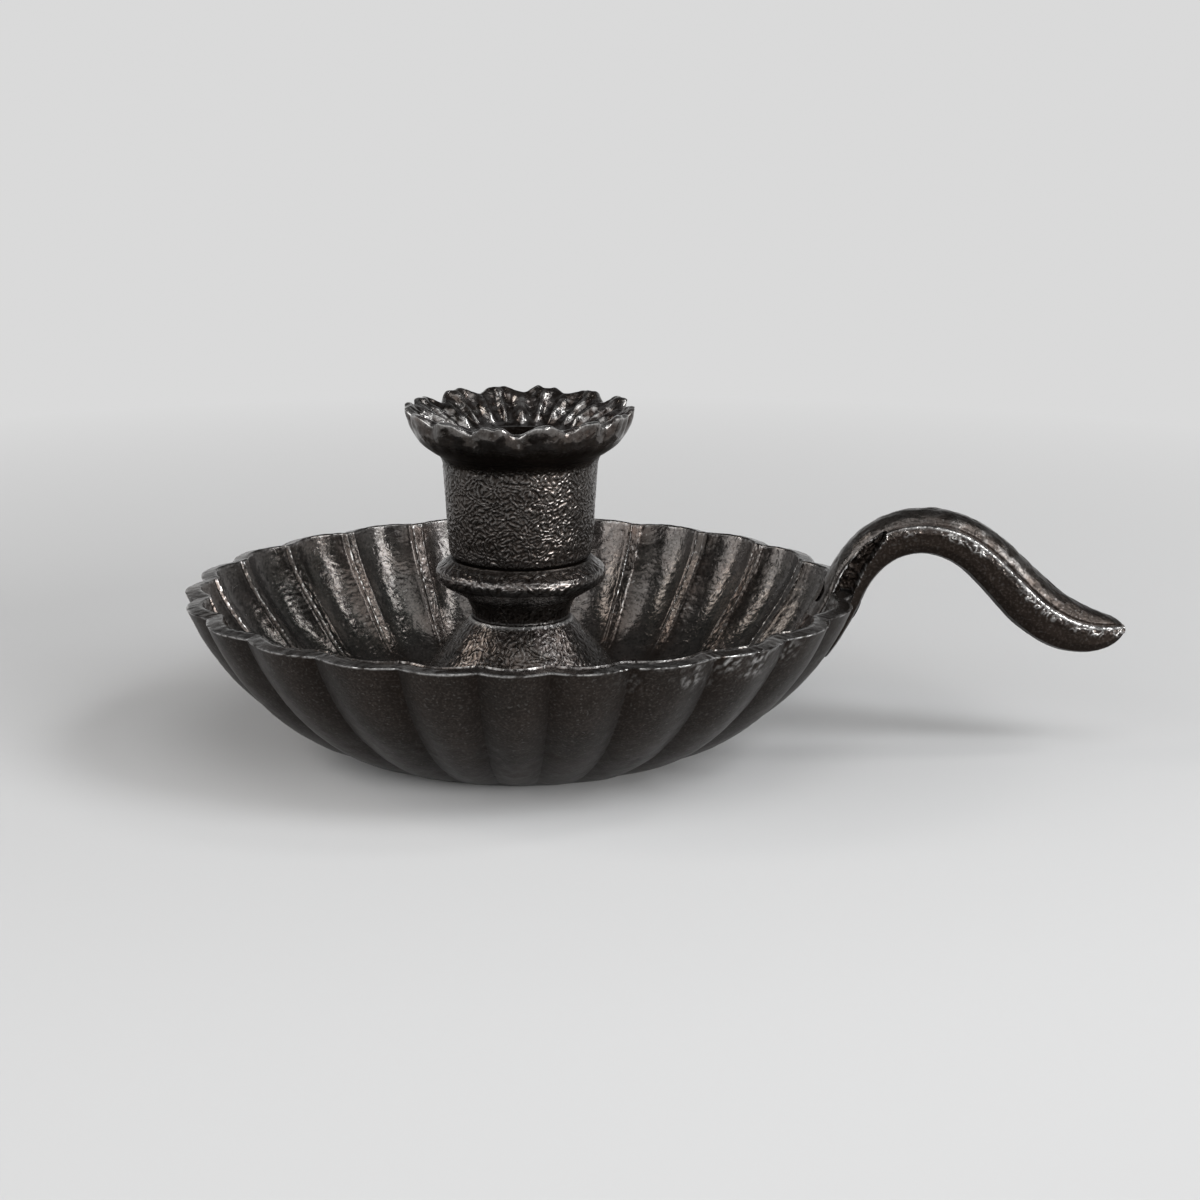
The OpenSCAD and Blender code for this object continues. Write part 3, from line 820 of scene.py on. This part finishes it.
def petal_ridge(a):
    """Rounded ridges in the funnel: one under each valley and a lesser one up the middle of each petal."""
    share, number = petal_place(a)
    return bell(0.5 - share, 0.16) + (0.35 + 0.4 * petal_random(number, 62)) * bell(share, 0.1)


def make_ring():
    a = np.linspace(0, 360, PETALS * PETAL_COLUMNS, endpoint=False)[None, :]
    lip = (RING_R, ring_z + RING_H)
    inner_lip = (RING_R - LIP_T, ring_z + RING_H + 0.1)
    funnel_foot = (RING_BORE_R + FUNNEL_LAND, ring_z + FUNNEL_RISE)

    t = np.linspace(0, 0.985, RING_OUT_ROWS)[:, None]
    x, z = on_arc((lip_r, ring_z), lip, SEAT_LEAN, t)
    shift = petal_wave(a) * t**1.4
    outer = turned(x - PETAL_DEPTH * shift, z - PETAL_DROP * shift - SEAT_LAP * (1 - smooth(t / 0.1)), a)
    t = np.linspace(0.985, 0, RING_IN_ROWS)[:, None]
    x, z = on_arc(funnel_foot, inner_lip, FUNNEL_LEAN, t)
    shift = petal_wave(a) * t**1.4
    slope = arc_slope(funnel_foot, inner_lip, FUNNEL_LEAN, t)
    ridge = RIDGE_H * petal_ridge(a) * smooth(t / 0.35) * (1 - 0.75 * t**4)
    inner = turned(x - PETAL_DEPTH * shift - ridge * sin_d(slope), z - PETAL_DROP * shift + ridge * cos_d(slope), a)
    edge = np.stack([lerp(outer[-1], inner[0], s) + [0, 0, 0.15 * (1 - (2 * s - 1) ** 2)] for s in LIP_SHARES])
    petals = np.concatenate([outer, edge, inner])

    high = smooth((petals[..., 2] - ring_z) / RING_H)
    sag = petal_random(petal_place(a)[1], 63) - 0.5
    sag = sag * (1 - bell(0.5 - petal_place(a)[0], 0.12))
    petals[..., 2] -= high * (0.12 + 0.5 * sag + 0.35 * noise(petals, 3.4, 64) + 0.12 * noise(petals, 1.3, 67))
    ripple = 0.26 * noise(petals, 2.6, 65) + 0.06 * noise(petals, 1.0, 66)
    petals = raised(petals, ripple * smooth(high / 0.15) * (0.3 + 0.7 * high))
    spigot_r = RING_BORE_R + SPIGOT_T
    seat = profile_line([funnel_foot, (RING_BORE_R, ring_z + FUNNEL_RISE), (RING_BORE_R, spigot_z), (spigot_r, spigot_z),
                         (spigot_r, ring_z), (lip_r, ring_z)], 1.2)
    seat = np.concatenate([turned(np.full_like(a, r), np.full_like(a, z), a) for r, z in seat[1:-1]])
    rings = np.concatenate([petals, seat])

    worn = np.zeros(rings.shape[:2])
    soil_and_shade = np.zeros(rings.shape[:2])
    lip_rows = RING_OUT_ROWS + np.arange(-1, 4)
    worn[lip_rows] = smooth(0.4 + 1.2 * noise(rings[lip_rows], 2.6, 68)) * 0.5
    streaked = smooth(0.4 + 1.6 * noise(inner, np.array([1.4, 1.4, 4.0]), 69))
    worn[len(petals) - RING_IN_ROWS:len(petals)] += (0.26 + 0.26 * petal_ridge(a)) * streaked * smooth(4 - 4 * t)
    creased = np.zeros(rings.shape[:2])
    creased[RING_OUT_ROWS:len(petals)] = 0.8
    cove_t = np.linspace(0, 1, RING_OUT_ROWS)[:, None]
    # Painted shade on the cove under the lip, and all over the seat below.
    soil_and_shade[:RING_OUT_ROWS] = smooth((0.62 - cove_t) / 0.3)
    soil_and_shade[len(petals):] = 1.0
    creased[:RING_OUT_ROWS] = 0.35 * smooth((cove_t - 0.5) / 0.3)
    marks = {"worn": worn, "soil_and_shade": soil_and_shade, "creased": creased}
    piece = skin("drip_ring_casting", rings, closed=True, marks=marks)
    shade(piece)
    mark_relief(piece, 7, 0.16, 0.3, 0.35)
    return piece


# Handle

HALF_SECTION = ((0, 1), (0.25, 0.975), (0.45, 0.92), (0.62, 0.845), (0.76, 0.75), (0.85, 0.645), (1, 0.28), (1, -0.5),
                (0.88, -0.84), (0.5, -0.98), (0, -1))
SECTION_POINTS = 236
CURVE_STATIONS = 150
ROOT_STATIONS = 50
ARRIS_UP = (0.53, 0.32)
TIP_TRIM = 0.2


def bezier(points, t):
    p0, p1, p2, p3 = (np.array(p, float) for p in points)
    t = np.asarray(t)[..., None]
    return (1 - t) ** 3 * p0 + 3 * (1 - t) ** 2 * t * p1 + 3 * (1 - t) * t * t * p2 + t**3 * p3


def root_line(t):
    x, z = wall_at(t)
    inset = ROOT_T / 2 - STRAP_T
    return np.stack([x - inset * sin_d(wall_slope(t)), z + inset * cos_d(wall_slope(t))], -1)


def handle_path():
    """The bar's middle line, and its share u: below 0 on the wall, 1 at the arch, 2 at the sway, 3 at the tip."""
    start = root_line(np.array(1.0))
    rise_way = np.array([cos_d(wall_slope(1.0)), sin_d(wall_slope(1.0))])
    top = np.array([rim_r + ARCH_OUT, dish_h + ARCH_RISE])
    sway = np.array([rim_r + handle_reach * 0.616, dish_h - TIP_DROP * 0.12])
    sway_way = np.array([cos_d(-45), sin_d(-45)])
    tip = np.array([rim_r + handle_reach - TIP_TRIM, dish_h - TIP_DROP])
    tip_way = np.array([cos_d(12), sin_d(12)])
    curves = (
        (start, start + 5 * rise_way, top - [8.8, 0], top),
        (top, top + [9.9, 0], sway - 9.3 * sway_way, sway),
        (sway, sway + 7.8 * sway_way, tip - 9.4 * tip_way, tip),
    )
    root = np.linspace(ROOT_FROM, 1, ROOT_STATIONS, endpoint=False)
    line, u = [root_line(root)], [root - 1]
    even = np.linspace(0, 1, CURVE_STATIONS, endpoint=False)
    eased = np.sin(np.radians(90 * np.linspace(0, 1, CURVE_STATIONS)))
    for k, (curve, t) in enumerate(zip(curves, (even, even, eased))):
        line.append(bezier(curve, t))
        u.append(k + t)
    return np.concatenate(line), np.concatenate(u)


def section_shape():
    """The bar's closed section as (across, up) shares, evenly spaced, its corners slightly eased."""
    half = list(HALF_SECTION)
    loop = half + [(-y, n) for y, n in half[-2:0:-1]]
    loop = np.array(loop + [loop[0]], float)
    run = np.concatenate([[0], np.cumsum(np.linalg.norm(np.diff(loop, axis=0), axis=1))])
    s = np.linspace(0, run[-1], SECTION_POINTS, endpoint=False)
    shape = np.stack([np.interp(s, run, loop[:, k]) for k in range(2)], 1)
    for _ in range(2):
        shape = 0.5 * shape + 0.25 * (np.roll(shape, 1, 0) + np.roll(shape, -1, 0))
    return shape


def make_handle():
    line, u = handle_path()
    way = np.gradient(line, axis=0)
    way /= np.linalg.norm(way, axis=1, keepdims=True)
    swell = lerp(ARCH_T, SWELL_T, np.clip(u - 1, 0, 1))
    depth = np.where(u < 0, ROOT_T, np.where(u < 1, lerp(ROOT_T, ARCH_T, u), swell))
    end = np.clip(u - 2, 0, 1)
    depth = (depth * np.maximum(0.11, np.sqrt(1 - end**3)))[:, None]
    width = (BAR_W * np.maximum(0.245, np.sqrt(1 - end**4)))[:, None]
    shape = section_shape()
    side, up_share = np.abs(shape[None, :, 0]), shape[None, :, 1]
    across = shape[None, :, 0] * width / 2
    up = up_share * depth / 2
    u = u[:, None]

    high = HOLLOW_TOP * depth / 2
    taper = np.sqrt(np.clip(1.02 - (np.clip(u, 0, None) / HOLLOW_END) ** 2, 0, None))
    low = high - HOLLOW_H * taper
    middle = np.stack([line[:, None, 0] + 0 * up, across, line[:, None, 1] + 0 * up], -1)
    wander = 0.25 * noise(middle, 1.6, 74)
    hollow = smooth((high - up + 0.6 * wander) / 0.3) * smooth((up - low + wander) / 0.45)
    hollow = hollow * smooth((HOLLOW_END + 0.02 - u) / 0.04) * smooth((u + 0.1) / 0.05) * (side > 0.7)
    across = across - np.sign(across) * hollow * HOLLOW_DEPTH

    x = line[:, None, 0] - way[:, None, 1] * up
    z = line[:, None, 1] + way[:, None, 0] * up
    rings = np.stack([x, across, z], -1)
    rise = (up_share - lerp(*ARRIS_UP, smooth(u / 1.3))) * depth / 2
    arris = (side > 0.75) * bell(rise, 0.24)
    groove = (side > 0.6) * bell(rise - 0.65, 0.25)
    crown = smooth((rise - 0.4) / 0.4)
    under = (side > 0.8) * smooth((0.1 - rise) / 0.2) * smooth((rise + 2.2) / 1.0)
    flank = smooth((-0.9 - rise) / 0.6)
    later = smooth((u - 0.75) / 0.5)
    ragged = noise(rings, np.array([0.6, 3.0, 0.6]), 75)
    flow = noise(warped(rings, 4.0, 1.6, 76), np.array([3.2, 1.6, 3.2]), 79)
    loops = bell(noise(warped(rings, 1.6, 0.8, 80), 1.3, 83), 0.13)
    relief = 0.09 * noise(rings, 5.0, 71) + 0.035 * noise(rings, 1.3, 72) - 0.14
    relief = relief + arris * (0.26 + 0.08 * ragged) - groove * 0.2 * (0.3 + 0.7 * later)
    relief = relief + under * (0.14 * loops + 0.08 * ragged) + crown * (0.17 * flow + 0.03 * ragged)
    relief = relief + hollow * (0.4 * noise(rings, 1.5, 73) + 0.22 * noise(rings, 0.7, 77))
    rings = raised(rings, -relief)

    lit = smooth(0.6 + 1.3 * noise(rings, 2.4, 78) + 0.5 * ragged)
    patches = smooth(0.3 + 1.8 * noise(rings, 3.5, 70))
    worn = arris * smooth(lit + 0.3) * (0.55 + 1.25 * later)
    worn = worn + under * (1 - hollow) * loops * patches * (0.25 + 0.65 * later)
    worn = worn + crown * (0.07 - 0.07 * later + 0.14 * bell(u - 1.5, 0.45) * smooth(0.1 + 2.0 * flow))
    edge_low = bell(up - low + wander, 0.25) * (side > 0.9) * smooth((HOLLOW_END - u) / 0.05) * smooth((u + 0.02) / 0.03)
    worn = worn + 0.6 * edge_low * smooth(2.5 * ragged)
    # Painted shade: the crown's shoulder, more towards the tip, the hollow and the groove. The flanks are darkened
    # fully.
    crown_shade = crown * (0.42 + 0.28 * smooth((u - 1.9) / 0.5))
    soil_and_shade = np.maximum(0.85 * hollow + 0.5 * groove * later + crown_shade, flank)
    creased = np.maximum(0.6 * crown + 0.6 * under, 0.05 * flank + hollow)
    piece = skin("handle_casting", rings, marks={"worn": worn, "soil_and_shade": soil_and_shade, "creased": creased})
    cut(piece, wall_cutter())
    cut(piece, tongue_cutter())
    shade(piece, 40.0)
    mark_relief(piece, 8, 0.2, 0.15, 0.5)
    return piece


def wall_cutter():
    """A sector of the wall, grown by the fork's gap."""
    a = np.linspace(-pitch, 0.7 * pitch, 52)[:, None]
    t = np.linspace(0.45, 1, 18)[None, :]
    at = a + crowd(a)
    outer = turned(*outer_wall(t, a, FORK_GAP), at)
    t = t[:, ::-1]
    inner = turned(*inner_wall(t, a, plain_rib(t, a), FORK_GAP), at)
    middle = lerp(outer[:, -1:], inner[:, :1], 0.5) + [0, 0, 0.1]
    return skin("wall_cutter", np.concatenate([outer, middle, inner], axis=1))


def tongue_cutter():
    """The space inside the dish below the fork's inner tongue."""
    x, _ = inner_line(np.array(0.8))
    low = np.array([0.0, -2 * BAR_W, 0.0])
    high = np.array([float(x) - TONGUE_ROOM, 2 * BAR_W, dish_h - TONGUE_H])
    loop = ((0, 0), (1, 0), (1, 1), (0, 1))
    rings = [[[lerp(low[0], high[0], i), lerp(low[1], high[1], j), z] for i, j in loop] for z in (low[2], high[2])]
    return skin("tongue_cutter", np.array(rings))


def cut(piece, cutter):
    """Takes the cutter's solid out of the piece for good and removes the cutter."""
    modifier = piece.modifiers.new("cut", "BOOLEAN")
    modifier.operation = "DIFFERENCE"
    modifier.solver = "EXACT"
    modifier.object = cutter
    bpy.context.view_layer.update()
    solid = bpy.data.meshes.new_from_object(piece.evaluated_get(bpy.context.evaluated_depsgraph_get()))
    piece.modifiers.clear()
    old = piece.data
    piece.data = solid
    bpy.data.meshes.remove(old)
    bpy.data.objects.remove(cutter)


# Build the pieces

METALLIC = 0.9
GROOVE_SHARE = 0.6
GRAIN_MM = 0.5
SPARK_MM = 0.6
SPARK_WEAR = 0.15
DARK = (0.042, 0.0375, 0.034)
BROWN = (0.068, 0.0555, 0.0485)
RUST = (0.110, 0.062, 0.044)
# Near black for soot patches and sand specks, and for painted shade.
SOOT_AND_SHADE = (0.0085, 0.0053, 0.0035)
BRIGHT = (0.60, 0.59, 0.58)
STEEL = (0.11, 0.10, 0.092)
STEEL_BROWN = (0.13, 0.105, 0.085)

dish_iron = iron_material("dish_iron_look", 0.2, 0.025, (1.8, 1.3, 0.5, 0.04))
stem_iron = iron_material("stem_iron_look", 0.15, 0.01, (3.0, 3.2, 0.4, 0.04), 0.15, 0.1)
ring_iron = iron_material("ring_iron_look", 0.17, 0.015, (2.4, 1.8, 0.5, 0.04), 0.6)
handle_iron = iron_material("handle_iron_look", 0.2, 0.02, (2.4, 2.0, 0.5, 0.045), 0.15, 0.1)
screw_steel = iron_material("screw_steel_look", 0.35, 0.02, (2.0, 1.0, 0.0, 0.0), 0.4, 0.0, STEEL, STEEL_BROWN)

dress(make_dish(), dish_iron, "stick", "dish")
dress(make_foot(), stem_iron, "stick", "foot")
dress(make_knop(), stem_iron, "stick", "knop")
dress(make_cup(), stem_iron, "stick", "candle_cup")
dress(make_ring(), ring_iron, "lifting_ring", "drip_ring")
dress(make_handle(), handle_iron, "stick", "handle")

for node, material, slot in (
    ("handle_rivet", handle_iron, "handle_iron"),
    ("centre_screw", screw_steel, "screw_steel"),
    ("screw_washer", screw_steel, "screw_steel"),
):
    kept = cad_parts[node]
    kept.data.materials.clear()
    kept.data.materials.append(material)


# Stage: floor, lights, world and camera

FLOOR_COLOUR = (0.57, 0.57, 0.57, 1.0)
BACKDROP = (0.70, 0.70, 0.70, 1.0)
WALLS = (0.65, 0.65, 0.65, 1.0)
CEILING = (0.08, 0.08, 0.08, 1.0)
FLOOR_HALF = 6.0


def floor_material():
    """Pale paper that takes the object's shadow near it and is an even pale backdrop further off."""
    material = bpy.data.materials.new("floor_paper")
    material.use_nodes = True
    tree = material.node_tree
    tree.nodes.clear()
    place = add_node(tree, "ShaderNodeTexCoord").outputs["Object"]
    distance = add_node(tree, "ShaderNodeVectorMath", operation="LENGTH", Vector=place).outputs["Value"]
    path = add_node(tree, "ShaderNodeLightPath")
    seen = calculated(tree, "MAXIMUM", path.outputs["Is Camera Ray"], path.outputs["Is Glossy Ray"])
    seen = calculated(tree, "MAXIMUM", seen, path.outputs["Is Transmission Ray"])
    paper = add_node(tree, "ShaderNodeBsdfDiffuse", Color=FLOOR_COLOUR)
    glow = add_node(tree, "ShaderNodeEmission", Color=BACKDROP)
    mix = add_node(tree, "ShaderNodeMixShader")
    tree.links.new(calculated(tree, "MULTIPLY", mapped(tree, distance, 0.17, 0.4), seen), mix.inputs["Fac"])
    tree.links.new(paper.outputs["BSDF"], mix.inputs[1])
    tree.links.new(glow.outputs["Emission"], mix.inputs[2])
    output = add_node(tree, "ShaderNodeOutputMaterial")
    tree.links.new(mix.outputs["Shader"], output.inputs["Surface"])
    return material


def make_floor():
    mesh = bpy.data.meshes.new("floor")
    h = FLOOR_HALF
    mesh.from_pydata([(-h, -h, 0), (h, -h, 0), (h, h, 0), (-h, h, 0)], [], [(0, 1, 2, 3)])
    floor = bpy.data.objects.new("floor", mesh)
    floor.data.materials.append(floor_material())
    bpy.context.scene.collection.objects.link(floor)


def add_softbox(name, azimuth, elevation, distance, spread, height, radiance, colour=(1.0, 1.0, 1.0)):
    """A softbox aimed at the object. Azimuth 0 is the camera's side and 90 the handle's; sizes in degrees."""
    lamp = bpy.data.lights.new(name, "AREA")
    lamp.shape = "RECTANGLE"
    lamp.size = 2 * distance * math.tan(math.radians(spread / 2))
    lamp.size_y = 2 * distance * math.tan(math.radians(height / 2))
    lamp.energy = radiance * math.pi * lamp.size * lamp.size_y
    lamp.color = colour
    way = Vector((sin_d(azimuth) * cos_d(elevation), -cos_d(azimuth) * cos_d(elevation), sin_d(elevation)))
    box = bpy.data.objects.new(name, lamp)
    box.location = Vector((0.0, 0.0, 0.035)) + way * distance
    box.rotation_mode = "QUATERNION"
    box.rotation_quaternion = way.to_track_quat("Z", "Y")
    bpy.context.scene.collection.objects.link(box)


def make_world():
    """A studio whose walls are as pale as the floor low down and darken towards the ceiling."""
    world = bpy.data.worlds.new("studio")
    world.use_nodes = True
    bpy.context.scene.world = world
    tree = world.node_tree
    way = add_node(tree, "ShaderNodeTexCoord").outputs["Generated"]
    height = add_node(tree, "ShaderNodeSeparateXYZ", Vector=way).outputs["Z"]
    colour = blended(tree, mapped(tree, height, 0.15, 0.5), WALLS, CEILING)
    tree.links.new(colour, tree.nodes["Background"].inputs["Color"])


def make_camera():
    camera = bpy.data.cameras.new("view")
    camera.sensor_width = SENSOR_W
    camera.lens = SENSOR_W * VIEW_D / VIEW_WIDTH
    camera.clip_start = 0.05
    camera.clip_end = 50.0
    seat = bpy.data.objects.new("view", camera)
    back = Vector((0, -cos_d(VIEW_ELEVATION), sin_d(VIEW_ELEVATION)))
    seat.location = (Vector(VIEW_TARGET) + back * VIEW_D) * MM
    seat.rotation_euler = (math.radians(90 - VIEW_ELEVATION), 0, 0)
    bpy.context.scene.collection.objects.link(seat)
    bpy.context.scene.camera = seat


make_floor()
add_softbox("key_right", 62, 40, 1.3, 22, 28, 8.0, (0.96, 0.98, 1.0))
add_softbox("key_low", 50, 8.5, 1.3, 46, 14, 15.0)
add_softbox("edge_right", 100, 48, 1.3, 8, 14, 9.0)
add_softbox("fill_front", 0, 22, 1.3, 100, 26, 1.25)
add_softbox("fill_left", -60, 30, 1.3, 70, 36, 2.1)
add_softbox("edge_left", -100, 40, 1.3, 10, 16, 5.0, (1.0, 0.93, 0.86))
add_softbox("top", 12, 70, 1.4, 36, 32, 1.5)
make_world()
make_camera()
bpy.context.scene.view_settings.view_transform = "Standard"
